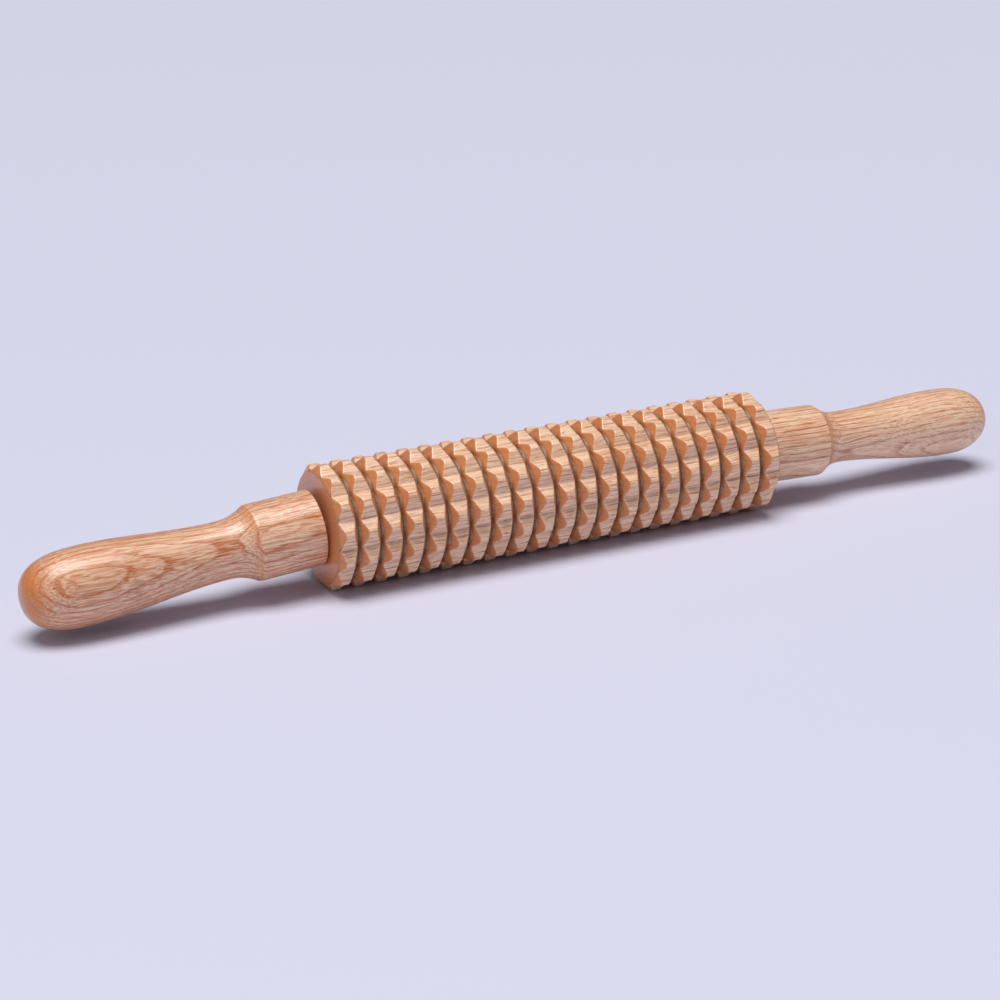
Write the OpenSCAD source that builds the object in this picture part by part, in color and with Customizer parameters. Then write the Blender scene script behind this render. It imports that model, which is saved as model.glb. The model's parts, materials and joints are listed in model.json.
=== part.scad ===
// Wooden roller massager: a toothed barrel on a steel axle, with a turned handle
// at each end. Each handle runs loosely on the axle through a plastic bush, so it
// turns by itself and hangs a little below the line of the barrel.
// The origin is the middle of the whole tool's length, on the axle's centreline. +X
// runs along the axle and +Z is up. The barrel rests on two rows of teeth.

/* [Barrel] */
// Diameter over the tips of the teeth
barrel_d = 52.8; // [46:0.1:66]
// Length of the barrel
barrel_length = 206.2; // [150:0.1:290]
// Discs along the barrel
disc_count = 21; // [5:2:31]
// Distance from one disc to the next
disc_pitch = 9.9; // [9:0.1:12]
// Width of a tooth's tip, along the barrel
tip_width = 3.6; // [2:0.1:4.5]
// Slope of the grooves' walls, from square across the barrel
wall_angle = 34; // [30:1:45]
// Teeth around each disc
tooth_count = 13; // [9:2:15]
// Width of a tooth's tip, around the barrel
tip_land = 2.6; // [1.2:0.1:3.5]
// Depth of the flutes between the teeth
flute_depth = 2.9; // [1.5:0.1:3.2]

/* [Axle] */
// Diameter of the steel axle
axle_d = 8; // [6:0.1:10]
// Diameter at the bottom of a retaining ring's groove
groove_d = 6; // [4:0.1:7]
// Length of axle beyond each groove
axle_tail = 2.5; // [2:0.1:4]
// Chamfer on the axle's ends
axle_chamfer = 0.6; // [0.2:0.1:1]

/* [Handles] */
// Length of the left handle beyond its collar, along its own centreline
reach_length = 96; // [80:1:120]
// Diameter of the collar beside the barrel
collar_d = 31.6; // [28:0.1:38]
// Length of the left collar
left_collar = 27; // [24:0.1:40]
// Length of the right collar
right_collar = 29.8; // [24:0.1:40]
// Diameter of the left handle's neck, at its thinnest
neck_d = 24; // [18:0.1:26]
// Length of the cove from the collar to the neck
cove_length = 13; // [8:0.5:18]
// Sharpness of the cove beside the collar, where 1 is a cone
cove_power = 2.2; // [1.5:0.1:3]
// Diameter of the left handle's grip, at its thickest
grip_d = 32; // [26:0.1:40]
// Distance from the left grip's thickest place to the end of the handle
grip_end = 25; // [18:0.5:30]
// Size of the right handle beyond its collar, as a share of the left one's. The
// handles are turned by hand, and the right one is a little smaller
right_size = 0.945; // [0.9:0.005:1]
// Bluntness of the end of the handle, where 2 is an ellipse
end_bluntness = 2.5; // [2:0.1:3]
// Softened edge at the handle's mouth
mouth_edge = 0.5; // [0.2:0.1:1.5]
// Angle at which the left handle hangs
left_sag = 3.9; // [0:0.1:4.5]
// Angle at which the right handle hangs
right_sag = 1.9; // [0:0.1:4.5]
// Gap between the lowest part of a handle's mouth and the barrel
mouth_gap = 0.6; // [0.5:0.05:2]

/* [Bushes and rings] */
// Outer diameter of a bush
bush_d = 16; // [14:0.1:18]
// Length of a bush, its flange included
bush_length = 14; // [10:0.5:18]
// Diameter of a bush's flange
flange_d = 20; // [18.5:0.1:22]
// Thickness of a bush's flange
flange_t = 1.5; // [1:0.1:2]
// Clearance of a bush around the axle at its tightest, on the radius
running_clear = 0.08; // [0.05:0.01:0.15]
// Outer diameter of a thrust washer
thrust_d = 16; // [12:0.5:18]
// Thickness of a thrust washer
thrust_t = 0.5; // [0.3:0.05:0.5]
// Outer diameter of a stop washer
stop_d = 13; // [12:0.1:14]
// Thickness of a stop washer
stop_t = 1; // [0.6:0.1:1.6]
// Clearance of a washer around the axle, on the radius
washer_clear = 0.15; // [0.1:0.01:0.3]
// Outer diameter of a retaining ring
ring_d = 12.3; // [10:0.1:13]
// Thickness of a retaining ring
ring_t = 0.7; // [0.5:0.1:1]
// Play of a retaining ring in its groove, along the axle
ring_play = 0.1; // [0.05:0.01:0.2]
// End float of a handle along the axle
end_float = 0.3; // [0.2:0.05:1]
// Length of the hollow in a handle beyond the axle's end
bore_spare = 1.5; // [1:0.1:4]

/* [Hidden] */

barrel_r = barrel_d / 2;
barrel_half = barrel_length / 2;
// Radius at the bottom of the vee grooves between discs
core_r = barrel_r - (disc_pitch - tip_width) / 2 / tan(wall_angle);

// Angles of a flute, which leaves tip_land between it and the next one
tooth_step = 360 / tooth_count;
flute_half_angle = (tooth_step - tip_land / barrel_r * 180 / PI) / 2;
flute_half_width = barrel_r * sin(flute_half_angle);
flute_top = barrel_r * cos(flute_half_angle);
flute_bottom = barrel_r - flute_depth;
// A flute's cutter reaches past the tips and the barrel's ends by this much
cut_over = 2;

axle_r = axle_d / 2;
half_bush = bush_length / 2;

// Each function of a side takes -1 for the left handle and 1 for the right
function sag(side) = side < 0 ? left_sag : right_sag;
function size(side) = side < 0 ? 1 : right_size;
function collar_length(side) = side < 0 ? left_collar : right_collar;
// Play of a bush on the axle, on the radius, that lets its handle hang at an angle
function sag_play(side) = half_bush * tan(sag(side)) + running_clear;
// Distance from the barrel's end to the middle of a handle's mouth
function mouth_offset(side) = mouth_gap + collar_d / 2 * sin(sag(side));
// Distance from the barrel's middle to the point a handle hangs from, which is
// the middle of its bush
function hang_x(side) = barrel_half + mouth_offset(side) + half_bush * cos(sag(side));
// Where the stop washer, ring and axle end lie, measured from the barrel's middle
function stop_x(side) =
  hang_x(side) + half_bush * cos(sag(side)) + bush_d / 2 * sin(sag(side)) + end_float;
function ring_x(side) = stop_x(side) + stop_t;
function groove_end_x(side) = ring_x(side) + ring_t + ring_play;
function axle_end_x(side) = groove_end_x(side) + axle_tail;
// Depth of the hollow in a handle, from its mouth
function bore_depth(side) = axle_end_x(side) - hang_x(side) + half_bush + bore_spare;

// Places its children, drawn along +X from the origin, at the left or right end
module on_side(side) {
  if (side < 0) mirror([1, 0, 0]) children();
  else children();
}

// Places its children, drawn from the mouth of a handle along +X, as the handle hangs
module hung(side) {
  on_side(side)
    translate([hang_x(side), 0, 0])
      rotate([0, sag(side), 0])
        translate([-half_bush, 0, 0])
          children();
}

// Facets around a round surface
round_steps = 120;

// A solid turned about the X axis from an outline of [distance along X, radius]
module turned(outline) {
  rotate([0, 90, 0])
    rotate([0, 0, 180])
      rotate_extrude($fn = round_steps)
        polygon([for (p = outline) [p[1], p[0]]]);
}

// A straight ring about the X axis, from x0 to x1
module collar_ring(x0, x1, outer_r, inner_r) {
  turned([[x0, inner_r], [x1, inner_r], [x1, outer_r], [x0, outer_r]]);
}

// Outline of the discs and grooves. A plain core goes on past the barrel's ends
comb_end = barrel_half + disc_pitch;
comb_outline = concat(
  [[-comb_end, 0], [-comb_end, core_r], [-disc_count * disc_pitch / 2, core_r]],
  [for (i = [0 : disc_count - 1])
    let (x = (i - (disc_count - 1) / 2) * disc_pitch)
    for (p = [[x - tip_width / 2, barrel_r], [x + tip_width / 2, barrel_r],
              [x + disc_pitch / 2, core_r]]) p],
  [[comb_end, core_r], [comb_end, 0]]
);

// Vee-shaped cutter for one flute, along the underside of the barrel
module flute_cutter() {
  slope = flute_half_width / (flute_top - flute_bottom);
  rise = barrel_r + cut_over - flute_bottom;
  rotate([90, 0, 90])
    linear_extrude(barrel_length + 2 * cut_over, center = true)
      polygon([[0, -flute_bottom], [slope * rise, -flute_bottom - rise],
               [-slope * rise, -flute_bottom - rise]]);
}

module toothed_barrel() {
  color("#d9a066")
    difference() {
      intersection() {
        turned(comb_outline);
        collar_ring(-barrel_half, barrel_half, barrel_r + cut_over, axle_r);
      }
      for (i = [0 : tooth_count - 1])
        rotate([i * tooth_step, 0, 0]) flute_cutter();
    }
}

// Half of the axle, with its retaining ring groove
function axle_half_outline(side) = [
  [0, 0], [0, axle_r],
  [ring_x(side), axle_r], [ring_x(side), groove_d / 2],
  [groove_end_x(side), groove_d / 2], [groove_end_x(side), axle_r],
  [axle_end_x(side) - axle_chamfer, axle_r], [axle_end_x(side), axle_r - axle_chamfer],
  [axle_end_x(side), 0]
];

module axle() {
  color("#b8bcc2")
    union() {
      turned(axle_half_outline(1));
      on_side(-1) turned(axle_half_outline(-1));
    }
}

// Radius of a handle beyond its collar, at a share t of the way along each part.
// The cove falls to the neck as a smooth ease-in, the neck swells to the grip as a
// half cosine, and the end is blunter than an ellipse
function handle_end(side) = collar_length(side) + reach_length * size(side);
function neck_x(side) = collar_length(side) + cove_length * size(side);
function grip_x(side) = handle_end(side) - grip_end * size(side);
function neck_r(side) = neck_d / 2 * size(side);
function grip_r(side) = grip_d / 2 * size(side);
function cove_r(side, t) = neck_r(side) + (collar_d / 2 - neck_r(side)) * pow(1 - t, cove_power);
function swell_r(side, t) = neck_r(side) + (grip_r(side) - neck_r(side)) * (1 - cos(180 * t)) / 2;
function end_r(side, t) = grip_r(side) * pow(1 - pow(t, end_bluntness), 1 / end_bluntness);

// Distance from the middle of the tool's length to the barrel's middle
function tip_x(side) = hang_x(side) + (handle_end(side) - half_bush) * cos(sag(side));
barrel_x = (tip_x(-1) - tip_x(1)) / 2;

cove_steps = 8;
swell_steps = 16;
cap_steps = 14;

function handle_outline(side) = concat(
  [[bore_depth(side), 0], [bore_depth(side), bush_d / 2], [flange_t, bush_d / 2],
   [flange_t, flange_d / 2], [0, flange_d / 2], [0, collar_d / 2 - mouth_edge],
   [mouth_edge, collar_d / 2]],
  [for (i = [0 : cove_steps]) let (t = i / cove_steps)
    [collar_length(side) + cove_length * size(side) * t, cove_r(side, t)]],
  [for (i = [1 : swell_steps]) let (t = i / swell_steps)
    [neck_x(side) + (grip_x(side) - neck_x(side)) * t, swell_r(side, t)]],
  [for (i = [1 : cap_steps - 1]) let (t = sin(90 * i / cap_steps))
    [grip_x(side) + grip_end * size(side) * t, end_r(side, t)]],
  [[handle_end(side), 0]]
);

module handle(side) {
  color("#e0ac78")
    hung(side) turned(handle_outline(side));
}

module left_handle() {
  handle(-1);
}

module right_handle() {
  handle(1);
}

// Flanged bush, pressed into a handle's mouth
module bush(side) {
  bore_r = axle_r + sag_play(side);
  color("#e8e4da")
    hung(side)
      turned([[0, bore_r], [bush_length, bore_r], [bush_length, bush_d / 2],
              [flange_t, bush_d / 2], [flange_t, flange_d / 2], [0, flange_d / 2]]);
}

module left_bush() {
  bush(-1);
}

module right_bush() {
  bush(1);
}

// Thin washer against the barrel's end
module thrust_washer(side) {
  color("#3a3a3c")
    on_side(side)
      collar_ring(barrel_half, barrel_half + thrust_t, thrust_d / 2, axle_r + washer_clear);
}

module left_thrust_washer() {
  thrust_washer(-1);
}

module right_thrust_washer() {
  thrust_washer(1);
}

// Steel washer between a bush and its retaining ring
module stop_washer(side) {
  color("#c9ccd1")
    on_side(side)
      collar_ring(stop_x(side), ring_x(side), stop_d / 2, axle_r + washer_clear);
}

module left_stop_washer() {
  stop_washer(-1);
}

module right_stop_washer() {
  stop_washer(1);
}

// Retaining ring: a flat spring clip that is pushed on from the side. It holds the
// groove at its two jaws and at its back, and is relieved between them
ring_fit = 0.02;
ring_seat_r = groove_d / 2 + ring_fit;
// Width of the ring's mouth, as a share of the seat, which is what makes it snap on
mouth_share = 0.9;
relief_r = 1.2;
relief_angle = 55;

module retaining_ring(side) {
  color("#55585c")
    on_side(side)
      translate([ring_x(side), 0, 0])
        rotate([90, 0, 90])
          linear_extrude(ring_t)
            difference() {
              circle(d = ring_d, $fn = round_steps);
              circle(r = ring_seat_r, $fn = round_steps);
              translate([-ring_seat_r * mouth_share, -ring_d])
                square([2 * ring_seat_r * mouth_share, ring_d]);
              for (a = [-relief_angle, relief_angle])
                rotate(90 + a) translate([ring_seat_r, 0]) circle(r = relief_r, $fn = round_steps);
            }
}

module left_retaining_ring() {
  retaining_ring(-1);
}

module right_retaining_ring() {
  retaining_ring(1);
}

translate([barrel_x, 0, 0]) {
  toothed_barrel();
  axle();
  left_thrust_washer();
  right_thrust_washer();
  left_handle();
  right_handle();
  left_bush();
  right_bush();
  left_stop_washer();
  right_stop_washer();
  left_retaining_ring();
  right_retaining_ring();
}
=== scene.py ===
"""Looks of the wooden roller massager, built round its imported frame.

The barrel is one turned and fluted piece of ash, and each handle is one turned
piece of ash. The steel and plastic pieces between them keep their frame meshes
and get their own finishes.
"""
import json
import math

import bmesh
import bpy
from bpy.props import (
    FloatProperty, FloatVectorProperty, IntProperty, PointerProperty, StringProperty)
from mathutils import Matrix, Quaternion, Vector, noise


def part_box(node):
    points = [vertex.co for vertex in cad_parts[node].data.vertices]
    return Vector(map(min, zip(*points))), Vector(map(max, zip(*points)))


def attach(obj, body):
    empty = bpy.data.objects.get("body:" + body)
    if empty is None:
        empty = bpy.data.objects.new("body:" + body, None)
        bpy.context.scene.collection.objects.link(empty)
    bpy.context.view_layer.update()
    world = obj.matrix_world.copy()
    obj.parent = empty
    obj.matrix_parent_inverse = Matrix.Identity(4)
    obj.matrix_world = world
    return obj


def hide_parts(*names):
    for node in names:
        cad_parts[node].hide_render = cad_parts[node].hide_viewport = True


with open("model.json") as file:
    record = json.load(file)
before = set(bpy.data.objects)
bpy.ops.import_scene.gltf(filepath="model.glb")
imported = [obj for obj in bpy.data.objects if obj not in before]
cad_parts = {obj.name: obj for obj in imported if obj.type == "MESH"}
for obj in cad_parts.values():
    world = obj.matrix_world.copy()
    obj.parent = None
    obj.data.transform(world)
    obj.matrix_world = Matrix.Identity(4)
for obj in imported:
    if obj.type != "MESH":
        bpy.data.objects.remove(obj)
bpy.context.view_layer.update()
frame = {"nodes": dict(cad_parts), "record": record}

bl_info = {
    "name": "Wooden roller massager",
    "version": (1, 0, 0),
    "blender": (4, 5, 0),
    "location": "View3D > Sidebar > Massager",
    "description": "Builds the looks of a wooden roller massager round its frame",
    "category": "Add Mesh",
}

MM = 0.001

# Mesh making
WELD = 1e-6                     # vertices closer than this are one
NORMAL_WEIGHT = 70              # how far large faces rule the shading of small ones
BLANK_RADIUS = 1.0              # radius of the barrel's blank, before it is shaped

# Barrel: rows of vertices beside an edge, in units of the edge's softness
COLUMN_NEAR = 1.6
ROW_NEAR = 1.2
TOOTH_BLEND = 2.5
WALL_BLEND = 2
# The cuts wander over 9 mm along the barrel, and a few times round it
WANDER_LENGTH = 9 * MM
WANDER_ROUND = 2.6
TIP_WANDER = 0.3                # share of the wander that dents a tooth's tip

# Handle: vertices round it and along each stretch of its outline
HANDLE_STEPS = 128
MOUTH_STEPS = 6
COVE_STEPS = 26
SWELL_STEPS = 36
END_STEPS = 30
COVE_POWER = 2.2                # how quickly the cove falls away from the collar
COVE_SPACING = 1.15             # crowds the cove's vertices towards the collar
# The corner where the collar meets the cove is sanded round: how far back along
# the collar each place lies, and how far in
SANDED = ((0.8 * MM, 0.0), (0.4 * MM, 0.03 * MM))
SANDED_LIP = 0.14 * MM
# Bore: the bush's flange sits in the mouth, its sleeve and the axle behind it
FLANGE_DEPTH = 1.5 * MM
FLANGE_RADIUS = 10 * MM
BORE_RADIUS = 8 * MM
AXLE_ROOM = 1.5 * MM            # free length past the axle's end

# Ash: a year's growth, and how far the grain wanders from straight
YEAR = 0.0023
GRAIN_SWAY = (0.0, 0.0045, 0.0045)
# Patterns per metre, along the grain and twice across it. Real pores and fibres
# are finer than these, which are as coarse as they need to be to show
SWAY_SCALE = (25, 85, 85)       # 40 mm along, 12 mm across
FIBRE_SCALE = (52, 2100, 2100)  # 19 mm along, 0.5 mm across
PORE_SCALE = (200, 2800, 2800)  # 5 mm along, 0.35 mm across
PATCH_SCALE = (11, 33, 33)      # 90 mm along, 30 mm across
PORE_DEPTH = 0.05 * MM
VARNISH = 0.75                  # weight of the clear coat
VARNISH_ROUGHNESS = 0.3         # rubbed back to satin

# Where each piece was cut from the tree: the pith from the piece, and its lean.
# Warmth darkens the wood, and bands set how strongly the years show. Shade is
# painted dark into the barrel's grooves between the two radii given last
BARREL_GRAIN = {
    "pith": (0.0, 0.021, 0.060), "lean": (0.0, 0.012, 0.006),
    "warmth": -0.12, "bands": 0.25, "pool": (0.0241, 0.0217)}
HANDLE_GRAIN = {
    "left": {
        "pith": (0.0, 0.050, -0.018), "lean": (0.0, 0.020, 0.050),
        "warmth": 0.18, "bands": 0.42},
    "right": {
        "pith": (0.0, 0.046, 0.018), "lean": (0.0, -0.050, -0.050),
        "warmth": -0.12, "bands": 0.4},
}

# Stage
FLOOR_HALF = 6.0
PAPER_COLOUR = "D5D6EB"
PAPER_ROUGHNESS = 0.7
ROOM_COLOUR = "DDE1F6"
ROOM_STRENGTH = 0.18
SOFTBOX_COLOUR = "FFFDF8"
SOFTBOX_STRENGTH = 2.82
SOFTBOX_SPREAD = math.radians(38)
SOFTBOX_DIRECTION = (0.05, 0.08, -1.0)
FILL_COLOUR = "F4F6FF"
FILL_SIZE = 1.2
FILL_POWER = 2.4
FILL_PLACE = (-1.1, -0.9, 0.8)
SENSOR_WIDTH = 36.0
FARTHEST_SEEN = 20.0


# --- places read from the frame -------------------------------------------------

BARREL_LOW, BARREL_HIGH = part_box("toothed_barrel")
AXLE_LOW, AXLE_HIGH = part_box("axle")
BARREL_MIDDLE = (BARREL_LOW.x + BARREL_HIGH.x) / 2
BARREL_RADIUS = BARREL_HIGH.z
AXLE_RADIUS = AXLE_HIGH.y
COLLARS = {m["name"]: m for m in frame["record"]["mounts"]}


# --- sizes and colours a user would change --------------------------------------


class BarrelSizes(bpy.types.PropertyGroup):
    """Sizes of the toothed barrel."""

    discs: IntProperty(name="Discs", description="Discs along the barrel", default=21)
    teeth: IntProperty(name="Teeth", description="Teeth around each disc", default=13)
    pitch: FloatProperty(
        name="Pitch", description="Distance from one disc to the next",
        default=9.9 * MM, unit="LENGTH")
    tip_width: FloatProperty(
        name="Tip width", description="Width of a tooth's tip along the barrel",
        default=3.6 * MM, unit="LENGTH")
    tip_land: FloatProperty(
        name="Tip land", description="Width of a tooth's tip around the barrel",
        default=2.6 * MM, unit="LENGTH")
    wall_angle: FloatProperty(
        name="Wall angle",
        description="Slope of the grooves' walls, from square across the barrel",
        default=math.radians(34), subtype="ANGLE")
    flute_depth: FloatProperty(
        name="Flute depth", description="Depth of the flutes between the teeth",
        default=2.9 * MM, unit="LENGTH")
    edge: FloatProperty(
        name="Edge softness", description="How far sanding has rounded the cut edges",
        default=0.28 * MM, unit="LENGTH")
    unevenness: FloatProperty(
        name="Unevenness", description="How far the hand-fed cuts wander",
        default=0.09 * MM, unit="LENGTH")


class HandleSizes(bpy.types.PropertyGroup):
    """Sizes of a turned handle, from its mouth outward."""

    reach: FloatProperty(
        name="Reach", description="Length of the left handle beyond its collar",
        default=96 * MM, unit="LENGTH")
    cove: FloatProperty(
        name="Cove", description="Length of the cove between collar and neck",
        default=13 * MM, unit="LENGTH")
    neck_radius: FloatProperty(
        name="Neck radius", description="Radius of the neck at its thinnest",
        default=12 * MM, unit="LENGTH")
    grip_radius: FloatProperty(
        name="Grip radius", description="Radius of the grip at its thickest",
        default=16 * MM, unit="LENGTH")
    grip_end: FloatProperty(
        name="Grip end", description="Distance from the thickest place to the end",
        default=25 * MM, unit="LENGTH")
    right_size: FloatProperty(
        name="Right size", description="Right handle beyond its collar, as a share of the left",
        default=0.945, min=0.8, max=1.2)
    bluntness: FloatProperty(
        name="Bluntness", description="Shape of the end, where 2 is an ellipse",
        default=2.5, min=1.5, max=4)
    edge: FloatProperty(
        name="Mouth edge", description="Softened edge at the mouth",
        default=0.5 * MM, unit="LENGTH")


class WoodColours(bpy.types.PropertyGroup):
    """Colours of the varnished ash."""

    pale: StringProperty(name="Pale wood", description="Late wood, sRGB hex", default="FBD5B3")
    warm: StringProperty(name="Warm wood", description="Early wood, sRGB hex", default="C9743F")
    pore: StringProperty(name="Pores", description="Open pores, sRGB hex", default="934C26")
    cut: StringProperty(name="Cut ends", description="End grain, sRGB hex", default="D77A2A")
    # Painted shade: the dark colour painted into the barrel's grooves where shade falls
    pool: StringProperty(
        name="Shaded", description="Varnish in grooves, sRGB hex", default="4A200C")


class StageSettings(bpy.types.PropertyGroup):
    """Camera, light and floor."""

    azimuth: FloatProperty(
        name="Azimuth", description="Camera to the left of the front",
        default=math.radians(25.478), subtype="ANGLE")
    elevation: FloatProperty(
        name="Elevation", description="Camera above the horizon",
        default=math.radians(18.224), subtype="ANGLE")
    roll: FloatProperty(
        name="Roll", description="Turn of the camera about its own line of sight",
        default=math.radians(-1.834), subtype="ANGLE")
    distance: FloatProperty(
        name="Distance", description="Camera to the point it looks at",
        default=1.0604, unit="LENGTH")
    lens: FloatProperty(
        name="Lens", description="Focal length in millimetres", default=90.85)
    aim: FloatVectorProperty(
        name="Aim", description="Point the camera looks at, from the barrel's middle",
        default=(-0.02042, 0.0, -0.00228), subtype="XYZ")


# --- mesh helpers ---------------------------------------------------------------


def linked(name, data):
    """A new object for a mesh, light or camera, in the scene."""
    made = bpy.data.objects.new(name, data)
    bpy.context.scene.collection.objects.link(made)
    return made


def new_piece(name, bm, material, body, replaced):
    """Makes a piece from a finished bmesh, at the origin, riding on a body."""
    bmesh.ops.remove_doubles(bm, verts=bm.verts, dist=WELD)
    bmesh.ops.recalc_face_normals(bm, faces=bm.faces)
    for face in bm.faces:
        face.smooth = True
    mesh = bpy.data.meshes.new(name)
    bm.to_mesh(mesh)
    bm.free()
    piece = linked(name, mesh)
    mesh.materials.append(material)
    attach(piece, body)
    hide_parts(replaced)
    weighted = piece.modifiers.new("Weighted normals", "WEIGHTED_NORMAL")
    weighted.weight = NORMAL_WEIGHT
    weighted.keep_sharp = True
    return piece


def spun(outline, steps):
    """A bmesh of an outline of (distance along X, radius), spun once about the X axis."""
    bm = bmesh.new()
    verts = [bm.verts.new((x, 0.0, r)) for x, r in outline]
    edges = [bm.edges.new(pair) for pair in zip(verts, verts[1:])]
    bmesh.ops.spin(
        bm, geom=verts + edges, cent=(0, 0, 0), axis=(1, 0, 0), dvec=(0, 0, 0),
        angle=math.tau, steps=steps, use_merge=True, use_duplicate=False)
    return bm


def soft_min(a, b, width):
    """The smaller of two values, blended over a width where they meet."""
    blend = max(width - abs(a - b), 0.0) / width
    return min(a, b) - blend * blend * width / 4


# --- the toothed barrel ---------------------------------------------------------


def barrel_columns(sizes):
    """Angles around one tooth, and where its shoulder is.

    They start in the middle of a flute and crowd together at the tooth's edges.
    """
    pitch = math.tau / sizes.teeth
    shoulder = (pitch - sizes.tip_land / BARREL_RADIUS) / 2
    near = COLUMN_NEAR * sizes.edge / BARREL_RADIUS
    side = [0.35 * near, 0.5 * shoulder, shoulder - 2 * near, shoulder - near,
            shoulder, shoulder + near, shoulder + 2 * near]
    return [0.0] + side + [pitch / 2] + [pitch - a for a in reversed(side)], shoulder


def flute_radius(angle, sizes, shoulder):
    """Radius of the straight-sided flute at an angle from its middle."""
    bottom = BARREL_RADIUS - sizes.flute_depth
    rise = BARREL_RADIUS * math.cos(shoulder) - bottom
    run = BARREL_RADIUS * math.sin(shoulder)
    slope = rise / run
    return bottom / (math.cos(angle) - slope * math.sin(angle))


def barrel_rows(sizes):
    """Rows along the barrel: a disc's middle, a side, a place there and that side's reach."""
    places = ["middle", "in2", "in1", "edge", "out1", "out2", "flank", "groove"]
    rows = []
    for disc in range(sizes.discs):
        centre = BARREL_MIDDLE + (disc - (sizes.discs - 1) / 2) * sizes.pitch
        left = min(sizes.pitch / 2, centre - BARREL_LOW.x)
        right = min(sizes.pitch / 2, BARREL_HIGH.x - centre)
        rows += [(centre, -1, place, left) for place in places[:0:-1]]
        rows += [(centre, 1, place, right) for place in places[:-1]]
    rows.append((centre, 1, "groove", right))
    return rows


def place_offset(place, corner, half, near):
    """Distance from a disc's middle for a place on it, where corner is its edge."""
    offsets = {
        "middle": 0.0,
        "in2": corner - 2 * near,
        "in1": corner - near,
        "edge": corner,
        "out1": min(corner + near, half - 2 * near),
        "out2": min(corner + 2 * near, half - near),
        "flank": (min(corner + 2 * near, half - near) + half) / 2,
        "groove": half,
    }
    return offsets[place]


def make_barrel(sizes, wood):
    """One closed piece: discs, grooves, flutes, end faces and the bore."""
    rows = barrel_rows(sizes)
    columns, shoulder = barrel_columns(sizes)
    steps = len(columns) * sizes.teeth
    bm = spun([(row * MM, BLANK_RADIUS) for row in range(len(rows))], steps)
    near = ROW_NEAR * sizes.edge
    tooth = math.tau / sizes.teeth
    slope = math.tan(sizes.wall_angle)
    for vert in bm.verts:
        centre, side, place, half = rows[round(vert.co.x / MM)]
        step = round(math.atan2(vert.co.y, -vert.co.z) / math.tau * steps) % steps
        flute, column = divmod(step, len(columns))
        local = columns[column]
        from_flute = min(local, tooth - local)
        angle = flute * tooth + local
        wander = sizes.unevenness * noise.noise(Vector((
            centre / WANDER_LENGTH,
            WANDER_ROUND * math.cos(angle), WANDER_ROUND * math.sin(angle))))
        surface = soft_min(flute_radius(from_flute, sizes, shoulder) + wander,
                           BARREL_RADIUS + TIP_WANDER * min(wander, 0.0),
                           TOOTH_BLEND * sizes.edge)
        corner = sizes.tip_width / 2 + (BARREL_RADIUS - surface) * slope
        offset = place_offset(place, corner, half, near)
        cone = BARREL_RADIUS + (sizes.tip_width / 2 - offset) / slope
        radius = soft_min(surface, cone, WALL_BLEND * sizes.edge)
        vert.co = (centre + side * offset, radius * math.sin(angle), -radius * math.cos(angle))
    rims = [e for e in bm.edges if e.is_boundary]
    for edge in rims:
        edge.smooth = False
    for end in (BARREL_LOW.x, BARREL_HIGH.x):
        rim = [e for e in rims if e.verts[0].co.x * end > 0]
        # The end face closes in to the axle, and the bore's wall runs to the middle
        for x in (end, 0.0):
            made = bmesh.ops.extrude_edge_only(bm, edges=rim)["geom"]
            rim = [g for g in made if isinstance(g, bmesh.types.BMEdge) and g.is_boundary]
            for vert in {v for e in rim for v in e.verts}:
                turn = math.atan2(vert.co.y, -vert.co.z)
                vert.co = (x, AXLE_RADIUS * math.sin(turn), -AXLE_RADIUS * math.cos(turn))
    return new_piece("carved_barrel", bm, wood, "barrel", "toothed_barrel")


# --- the turned handles ---------------------------------------------------------


def handle_outline(sizes, size, collar_end, collar_radius, bore_depth):
    """Outline of a handle from the end of its bore, round the outside, to its tip."""
    edge = sizes.edge
    end = collar_end + sizes.reach * size
    cove = sizes.cove * size
    neck = collar_end + cove
    thick = end - sizes.grip_end * size
    neck_radius = sizes.neck_radius * size
    grip_radius = sizes.grip_radius * size
    outline = [(bore_depth, 0.0), (bore_depth, BORE_RADIUS), (FLANGE_DEPTH, BORE_RADIUS),
               (FLANGE_DEPTH, FLANGE_RADIUS), (0.0, FLANGE_RADIUS)]
    for i in range(MOUTH_STEPS + 1):
        turn = math.radians(90 / MOUTH_STEPS * i)
        outline.append((edge * (1 - math.cos(turn)),
                        collar_radius - edge * (1 - math.sin(turn))))
    outline.append((collar_end * 0.5, collar_radius))
    outline += [(collar_end - back, collar_radius - drop) for back, drop in SANDED]
    outline.append((collar_end + cove * 0.01, collar_radius - SANDED_LIP))
    for i in range(1, COVE_STEPS + 1):
        t = 0.02 + 0.98 * (i / COVE_STEPS) ** COVE_SPACING
        outline.append((collar_end + cove * t,
                        neck_radius + (collar_radius - neck_radius) * (1 - t) ** COVE_POWER))
    for i in range(1, SWELL_STEPS + 1):
        t = i / SWELL_STEPS
        swell = (1 - math.cos(math.pi * t)) / 2
        outline.append((neck + (thick - neck) * t,
                        neck_radius + (grip_radius - neck_radius) * swell))
    for i in range(1, END_STEPS):
        t = math.sin(math.radians(90 / END_STEPS * i))
        outline.append((thick + (end - thick) * t,
                        grip_radius * (1 - t ** sizes.bluntness) ** (1 / sizes.bluntness)))
    outline.append((end, 0.0))
    return outline


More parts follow.
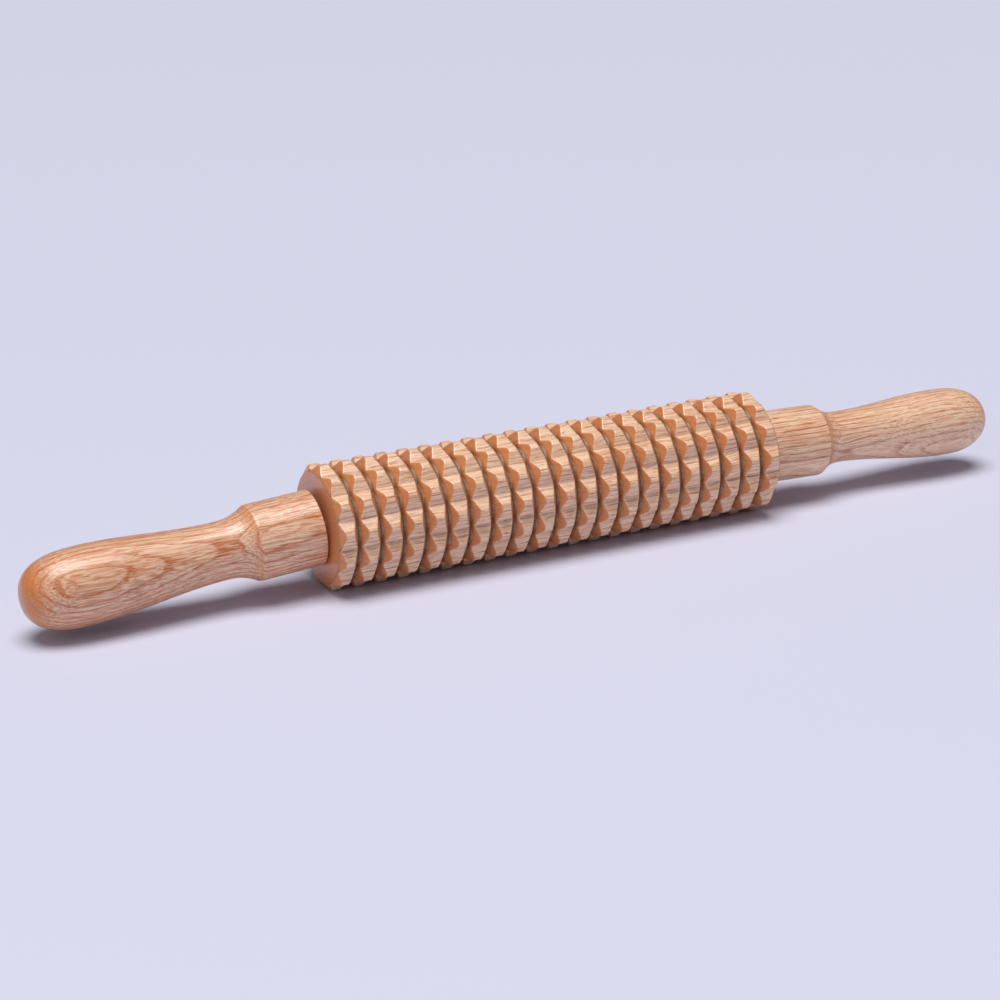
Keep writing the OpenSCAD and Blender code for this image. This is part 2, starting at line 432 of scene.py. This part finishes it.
def make_handle(side, sizes, wood):
    """One handle, turned about its own centreline and placed as it hangs."""
    collar = COLLARS[side + "_collar"]
    axis = Vector(collar["axis"])
    length = collar["dims"]["length_mm"] * MM
    mouth = Vector(collar["pos_m"]) - axis * (length / 2 + sizes.edge)
    axle_end = AXLE_LOW.x if side == "left" else AXLE_HIGH.x
    bore_depth = abs(axle_end - mouth.x) + AXLE_ROOM
    size = 1.0 if side == "left" else sizes.right_size
    outline = handle_outline(
        sizes, size, length + sizes.edge, collar["dims"]["r_mm"] * MM, bore_depth)
    bm = spun(outline, HANDLE_STEPS)
    place = Matrix.Translation(mouth) @ axis.to_track_quat("X", "Z").to_matrix().to_4x4()
    bmesh.ops.transform(bm, matrix=place, verts=bm.verts)
    body = side + "_handle"
    return new_piece("turned_" + body, bm, wood, body, body)


# --- materials ------------------------------------------------------------------


def linear(hex_colour):
    """sRGB hex to a linear colour."""
    values = [int(hex_colour[i:i + 2], 16) / 255 for i in (0, 2, 4)]
    straight = [v / 12.92 if v <= 0.04045 else ((v + 0.055) / 1.055) ** 2.4 for v in values]
    return straight + [1.0]


def add_node(tree, kind, links=None, **settings):
    """Adds a node; links maps its inputs to values or to other nodes' outputs."""
    node = tree.nodes.new(kind)
    for key, value in settings.items():
        setattr(node, key, value)
    for key, value in (links or {}).items():
        socket = node.inputs[key]
        if isinstance(value, bpy.types.NodeSocket):
            tree.links.new(value, socket)
        else:
            socket.default_value = value
    return node


def new_material(name):
    """An empty material with its output and a Principled shader."""
    material = bpy.data.materials.new(name)
    material.use_nodes = True
    tree = material.node_tree
    tree.nodes.clear()
    shader = tree.nodes.new("ShaderNodeBsdfPrincipled")
    output = tree.nodes.new("ShaderNodeOutputMaterial")
    tree.links.new(shader.outputs[0], output.inputs["Surface"])
    return material, tree, shader


def ash_wood(name, colours, pith, lean, warmth, bands, pool=None):
    """Ash, turned, sanded and varnished to a satin sheen.

    Ash is ring-porous: each year's band starts with a row of open pores, which
    show as short dark dashes along the grain, and ends in dense pale wood. The
    varnish soaks into cut ends, which turn a deeper orange. The values from pith
    on are those of BARREL_GRAIN and HANDLE_GRAIN; the last, for the barrel only,
    gives the radii between which shade is painted dark into the grooves.
    """
    material, tree, shader = new_material(name)
    place = add_node(tree, "ShaderNodeTexCoord")
    coords = place.outputs["Object"]
    # Slow wandering of the grain
    slow = add_node(tree, "ShaderNodeMapping", {"Vector": coords, "Scale": SWAY_SCALE})
    sway = add_node(tree, "ShaderNodeTexNoise", {
        "Vector": slow.outputs[0], "Scale": 1.0, "Detail": 2.0, "Roughness": 0.5})
    swayed = add_node(tree, "ShaderNodeVectorMath", {
        0: sway.outputs["Color"], 1: (0.5, 0.5, 0.5)}, operation="SUBTRACT")
    push = add_node(tree, "ShaderNodeVectorMath", {
        0: swayed.outputs[0], 1: GRAIN_SWAY}, operation="MULTIPLY")
    moved = add_node(tree, "ShaderNodeVectorMath", {
        0: coords, 1: push.outputs[0]}, operation="ADD")
    # Growth rings round a pith that lies outside the piece and leans a little
    centred = add_node(tree, "ShaderNodeMapping", {
        "Vector": moved.outputs[0], "Location": pith, "Rotation": lean}, vector_type="POINT")
    split = add_node(tree, "ShaderNodeSeparateXYZ", {0: centred.outputs[0]})
    flat = add_node(tree, "ShaderNodeCombineXYZ", {
        "Y": split.outputs["Y"], "Z": split.outputs["Z"]})
    reach = add_node(tree, "ShaderNodeVectorMath", {0: flat.outputs[0]}, operation="LENGTH")
    years = add_node(tree, "ShaderNodeMath", {0: reach.outputs["Value"], 1: YEAR},
                     operation="DIVIDE")
    band = add_node(tree, "ShaderNodeMath", {0: years.outputs[0]}, operation="FRACT")
    early = add_node(tree, "ShaderNodeMapRange", {
        "Value": band.outputs[0], "From Min": 0.0, "From Max": 0.38, "To Min": 1.0, "To Max": 0.0},
        interpolation_type="SMOOTHSTEP")
    onset = add_node(tree, "ShaderNodeMapRange", {
        "Value": band.outputs[0], "From Min": 0.9, "From Max": 1.0},
        interpolation_type="SMOOTHSTEP")
    early_sum = add_node(tree, "ShaderNodeMath", {0: early.outputs[0], 1: onset.outputs[0]},
                         operation="MAXIMUM")
    # Fibres show as long streaks
    fibre_place = add_node(tree, "ShaderNodeMapping", {
        "Vector": moved.outputs[0], "Scale": FIBRE_SCALE})
    fibre = add_node(tree, "ShaderNodeTexNoise", {
        "Vector": fibre_place.outputs[0], "Scale": 1.0, "Detail": 2.5, "Roughness": 0.6})
    streak = add_node(tree, "ShaderNodeMapRange", {
        "Value": fibre.outputs[0], "From Min": 0.36, "From Max": 0.66},
        interpolation_type="SMOOTHSTEP")
    # Open pores show as dashes, mostly in the early wood
    pore_place = add_node(tree, "ShaderNodeMapping", {
        "Vector": moved.outputs[0], "Scale": PORE_SCALE})
    pore = add_node(tree, "ShaderNodeTexNoise", {
        "Vector": pore_place.outputs[0], "Scale": 1.0, "Detail": 1.0, "Roughness": 0.5})
    pore_level = add_node(tree, "ShaderNodeMapRange", {
        "Value": early_sum.outputs[0], "To Min": 0.64, "To Max": 0.53})
    pore_over = add_node(tree, "ShaderNodeMath", {0: pore.outputs[0], 1: pore_level.outputs[0]},
                         operation="SUBTRACT")
    pores = add_node(tree, "ShaderNodeMapRange", {
        "Value": pore_over.outputs[0], "From Min": 0.0, "From Max": 0.06},
        interpolation_type="SMOOTHSTEP")
    # Broad patches of tone
    patch_place = add_node(tree, "ShaderNodeMapping", {"Vector": coords, "Scale": PATCH_SCALE})
    patch = add_node(tree, "ShaderNodeTexNoise", {
        "Vector": patch_place.outputs[0], "Scale": 1.0, "Detail": 2.0})
    ring_tone = add_node(tree, "ShaderNodeMath", {
        0: early_sum.outputs[0], 1: bands}, operation="MULTIPLY")
    streak_tone = add_node(tree, "ShaderNodeMath", {
        0: streak.outputs[0], 1: 0.7, 2: ring_tone.outputs[0]}, operation="MULTIPLY_ADD")
    whole_tone = add_node(tree, "ShaderNodeMath", {
        0: patch.outputs[0], 1: 0.6, 2: streak_tone.outputs[0]}, operation="MULTIPLY_ADD")
    mix_level = add_node(tree, "ShaderNodeMapRange", {
        "Value": whole_tone.outputs[0], "From Min": 0.35 - warmth, "From Max": 1.30 - warmth})
    ground = add_node(tree, "ShaderNodeMix", {
        "Factor": mix_level.outputs[0], "A": linear(colours.pale), "B": linear(colours.warm)},
        data_type="RGBA")
    pore_share = add_node(tree, "ShaderNodeMath", {0: pores.outputs[0], 1: 0.5},
                          operation="MULTIPLY")
    pored = add_node(tree, "ShaderNodeMix", {
        "Factor": pore_share.outputs[0], "A": ground.outputs["Result"],
        "B": linear(colours.pore)}, data_type="RGBA")
    # Cut ends face along the grain
    facing = add_node(tree, "ShaderNodeSeparateXYZ", {0: place.outputs["Normal"]})
    endwise = add_node(tree, "ShaderNodeMath", {0: facing.outputs["X"]}, operation="ABSOLUTE")
    soaked = add_node(tree, "ShaderNodeMapRange", {
        "Value": endwise.outputs[0], "From Min": 0.3, "From Max": 0.75, "To Max": 0.78},
        interpolation_type="SMOOTHSTEP")
    deep = add_node(tree, "ShaderNodeMix", {
        "Factor": soaked.outputs[0], "A": pored.outputs["Result"], "B": linear(colours.cut)},
        data_type="RGBA")
    colour = deep.outputs["Result"]
    if pool:
        # Painted shade: the grooves are painted dark from one radius to another, and
        # their coat and specular are turned down to dull them. The flat ends of the
        # barrel get no painted shade
        spread = add_node(tree, "ShaderNodeVectorMath", {0: coords, 1: (0.0, 1.0, 1.0)},
                          operation="MULTIPLY")
        radius = add_node(tree, "ShaderNodeVectorMath", {0: spread.outputs[0]},
                          operation="LENGTH")
        inside = add_node(tree, "ShaderNodeMapRange", {
            "Value": radius.outputs["Value"], "From Min": pool[0], "From Max": pool[1],
            "To Max": 0.85}, interpolation_type="SMOOTHSTEP")
        sides = add_node(tree, "ShaderNodeMapRange", {
            "Value": endwise.outputs[0], "From Min": 0.88, "From Max": 0.96,
            "To Min": 1.0, "To Max": 0.0})
        groove_shade_share = add_node(tree, "ShaderNodeMath", {0: inside.outputs[0], 1: sides.outputs[0]},
                          operation="MULTIPLY")
        dark = add_node(tree, "ShaderNodeMix", {
            "Factor": groove_shade_share.outputs[0], "A": colour, "B": linear(colours.pool)},
            data_type="RGBA")
        colour = dark.outputs["Result"]
        coat = add_node(tree, "ShaderNodeMapRange", {
            "Value": groove_shade_share.outputs[0], "To Min": VARNISH, "To Max": 0.0})
        tree.links.new(coat.outputs[0], shader.inputs["Coat Weight"])
        gloss = add_node(tree, "ShaderNodeMapRange", {
            "Value": groove_shade_share.outputs[0], "To Min": 0.5, "To Max": 0.1})
        tree.links.new(gloss.outputs[0], shader.inputs["Specular IOR Level"])
    tree.links.new(colour, shader.inputs["Base Color"])
    rough = add_node(tree, "ShaderNodeMapRange", {
        "Value": pores.outputs[0], "To Min": 0.4, "To Max": 0.6})
    tree.links.new(rough.outputs[0], shader.inputs["Roughness"])
    # The varnish softens the pores and leaves the fibres a faint ripple
    sunk = add_node(tree, "ShaderNodeMath", {0: pores.outputs[0], 1: -1.0, 2: 0.0},
                      operation="MULTIPLY_ADD")
    height = add_node(tree, "ShaderNodeMath", {
        0: fibre.outputs[0], 1: 0.5, 2: sunk.outputs[0]}, operation="MULTIPLY_ADD")
    bump = add_node(tree, "ShaderNodeBump", {
        "Height": height.outputs[0], "Strength": 0.35, "Distance": PORE_DEPTH})
    tree.links.new(bump.outputs[0], shader.inputs["Normal"])
    shader.inputs["IOR"].default_value = 1.5
    shader.inputs["Coat Weight"].default_value = VARNISH
    shader.inputs["Coat Roughness"].default_value = VARNISH_ROUGHNESS
    return material


def plain_finish(name, colour, metallic, roughness, grain, grain_size):
    """A hidden piece's finish: marks of a real size, along and across, in tone and sheen."""
    material, tree, shader = new_material(name)
    place = add_node(tree, "ShaderNodeTexCoord")
    marks_place = add_node(tree, "ShaderNodeMapping", {
        "Vector": place.outputs["Object"], "Scale": tuple(1 / s for s in grain_size)})
    marks = add_node(tree, "ShaderNodeTexNoise", {
        "Vector": marks_place.outputs[0], "Scale": 1.0, "Detail": 3.0})
    shade = add_node(tree, "ShaderNodeMapRange", {
        "Value": marks.outputs[0], "To Min": 1 - grain, "To Max": 1 + grain})
    tint = add_node(tree, "ShaderNodeVectorMath", {
        0: linear(colour)[:3], "Scale": shade.outputs[0]}, operation="SCALE")
    tree.links.new(tint.outputs[0], shader.inputs["Base Color"])
    rough = add_node(tree, "ShaderNodeMapRange", {
        "Value": marks.outputs[0], "To Min": roughness - 0.08, "To Max": roughness + 0.08})
    tree.links.new(rough.outputs[0], shader.inputs["Roughness"])
    shader.inputs["Metallic"].default_value = metallic
    return material


def drawn_steel():
    """Bright drawn steel: fine lines run along the bar."""
    return plain_finish("bright_drawn_steel", "B9BCC0", 1.0, 0.28, 0.10,
                        (20 * MM, 0.15 * MM, 0.15 * MM))


def zinc_steel():
    """Zinc plated steel: a bluish grey with a fine crystal mottle."""
    return plain_finish("zinc_plated_steel", "C3C8CE", 1.0, 0.35, 0.08, (0.4 * MM,) * 3)


def spring_steel():
    """Phosphated spring steel: dark grey and dull."""
    return plain_finish("phosphated_spring_steel", "4A4B4D", 1.0, 0.5, 0.15, (0.3 * MM,) * 3)


def moulded_acetal():
    """Natural acetal: off-white, smooth from the mould, with a waxy sheen."""
    return plain_finish("moulded_acetal", "E9E6DC", 0.0, 0.38, 0.03, (1.5 * MM,) * 3)


def stamped_nylon():
    """Black nylon sheet: matt, with a fine calendered grain."""
    return plain_finish("stamped_nylon", "242426", 0.0, 0.55, 0.12, (0.25 * MM,) * 3)


def give_finish(names, material):
    """Puts a material in the slots of frame nodes that keep their meshes."""
    for name in names:
        for slot in frame["nodes"][name].material_slots:
            slot.material = material


# --- operators ------------------------------------------------------------------


class MASSAGER_OT_barrel(bpy.types.Operator):
    """Build the toothed barrel"""

    bl_idname = "massager.barrel"
    bl_label = "Toothed barrel"

    def execute(self, context):
        scene = context.scene
        wood = ash_wood("varnished_ash_barrel", scene.massager_wood, **BARREL_GRAIN)
        make_barrel(scene.massager_barrel, wood)
        return {"FINISHED"}


class MASSAGER_OT_handles(bpy.types.Operator):
    """Build the two turned handles"""

    bl_idname = "massager.handles"
    bl_label = "Turned handles"

    def execute(self, context):
        scene = context.scene
        for side, grain in HANDLE_GRAIN.items():
            wood = ash_wood(f"varnished_ash_{side}", scene.massager_wood, **grain)
            make_handle(side, scene.massager_handles, wood)
        return {"FINISHED"}


class MASSAGER_OT_fittings(bpy.types.Operator):
    """Finish the axle, bushes, washers and rings"""

    bl_idname = "massager.fittings"
    bl_label = "Axle and fittings"

    def execute(self, context):
        give_finish(["axle"], drawn_steel())
        give_finish(["left_bush", "right_bush"], moulded_acetal())
        give_finish(["left_thrust_washer", "right_thrust_washer"], stamped_nylon())
        give_finish(["left_stop_washer", "right_stop_washer"], zinc_steel())
        give_finish(["left_retaining_ring", "right_retaining_ring"], spring_steel())
        return {"FINISHED"}


def area_light(name, size, energy, place, target, colour):
    """A soft square light that points at a target."""
    data = bpy.data.lights.new(name, "AREA")
    data.shape = "SQUARE"
    data.size = size
    data.energy = energy
    data.color = linear(colour)[:3]
    light = linked(name, data)
    light.location = place
    light.rotation_euler = (Vector(target) - Vector(place)).to_track_quat("-Z", "Y").to_euler()


class MASSAGER_OT_stage(bpy.types.Operator):
    """Lay the floor and set the light and camera"""

    bl_idname = "massager.stage"
    bl_label = "Stage"

    def execute(self, context):
        scene = context.scene
        stage = scene.massager_stage
        bm = bmesh.new()
        bmesh.ops.create_grid(bm, x_segments=1, y_segments=1, size=FLOOR_HALF)
        bmesh.ops.translate(bm, verts=bm.verts, vec=(0, 0, BARREL_LOW.z))
        mesh = bpy.data.meshes.new("floor")
        bm.to_mesh(mesh)
        bm.free()
        floor = linked("floor", mesh)
        paper, _, shader = new_material("studio_paper")
        shader.inputs["Base Color"].default_value = linear(PAPER_COLOUR)
        shader.inputs["Roughness"].default_value = PAPER_ROUGHNESS
        mesh.materials.append(paper)
        world = bpy.data.worlds.new("soft_room")
        scene.world = world
        world.use_nodes = True
        background = world.node_tree.nodes["Background"]
        background.inputs["Color"].default_value = linear(ROOM_COLOUR)
        background.inputs["Strength"].default_value = ROOM_STRENGTH
        sun = bpy.data.lights.new("softbox", "SUN")
        sun.energy = SOFTBOX_STRENGTH
        sun.angle = SOFTBOX_SPREAD
        sun.color = linear(SOFTBOX_COLOUR)[:3]
        softbox = linked("softbox", sun)
        softbox.rotation_euler = Vector(SOFTBOX_DIRECTION).to_track_quat("-Z", "Y").to_euler()
        area_light("fill", FILL_SIZE, FILL_POWER, FILL_PLACE, (0, 0, 0), FILL_COLOUR)
        back = Vector((-math.sin(stage.azimuth) * math.cos(stage.elevation),
                       -math.cos(stage.azimuth) * math.cos(stage.elevation),
                       math.sin(stage.elevation)))
        data = bpy.data.cameras.new("camera")
        data.lens = stage.lens
        data.sensor_width = SENSOR_WIDTH
        data.clip_end = FARTHEST_SEEN
        camera = linked("camera", data)
        aim = Vector((BARREL_MIDDLE, 0, 0)) + Vector(stage.aim)
        camera.location = aim + back * stage.distance
        gaze = (-back).to_track_quat("-Z", "Y") @ Quaternion((0.0, 0.0, 1.0), stage.roll)
        camera.rotation_euler = gaze.to_euler()
        scene.camera = camera
        scene.view_settings.view_transform = "Standard"
        return {"FINISHED"}


class MASSAGER_PT_panel(bpy.types.Panel):
    """Sidebar panel that lists the pieces"""

    bl_idname = "MASSAGER_PT_panel"
    bl_label = "Roller massager"
    bl_space_type = "VIEW_3D"
    bl_region_type = "UI"
    bl_category = "Massager"

    def draw(self, context):
        for group in ("massager_barrel", "massager_handles", "massager_wood", "massager_stage"):
            box = self.layout.box()
            values = getattr(context.scene, group)
            for name in values.__annotations__:
                box.prop(values, name)
        for operator in OPERATORS:
            self.layout.operator(operator.bl_idname)


GROUPS = {
    "massager_barrel": BarrelSizes,
    "massager_handles": HandleSizes,
    "massager_wood": WoodColours,
    "massager_stage": StageSettings,
}
OPERATORS = (MASSAGER_OT_barrel, MASSAGER_OT_handles, MASSAGER_OT_fittings, MASSAGER_OT_stage)


def register():
    for group in GROUPS.values():
        bpy.utils.register_class(group)
    for name, group in GROUPS.items():
        setattr(bpy.types.Scene, name, PointerProperty(type=group))
    for operator in OPERATORS:
        bpy.utils.register_class(operator)
    bpy.utils.register_class(MASSAGER_PT_panel)


def unregister():
    bpy.utils.unregister_class(MASSAGER_PT_panel)
    for operator in reversed(OPERATORS):
        bpy.utils.unregister_class(operator)
    for name, group in GROUPS.items():
        delattr(bpy.types.Scene, name)
        bpy.utils.unregister_class(group)


def main():
    register()
    bpy.ops.massager.barrel()
    bpy.ops.massager.handles()
    bpy.ops.massager.fittings()
    bpy.ops.massager.stage()


if __name__ == "__main__":
    main()
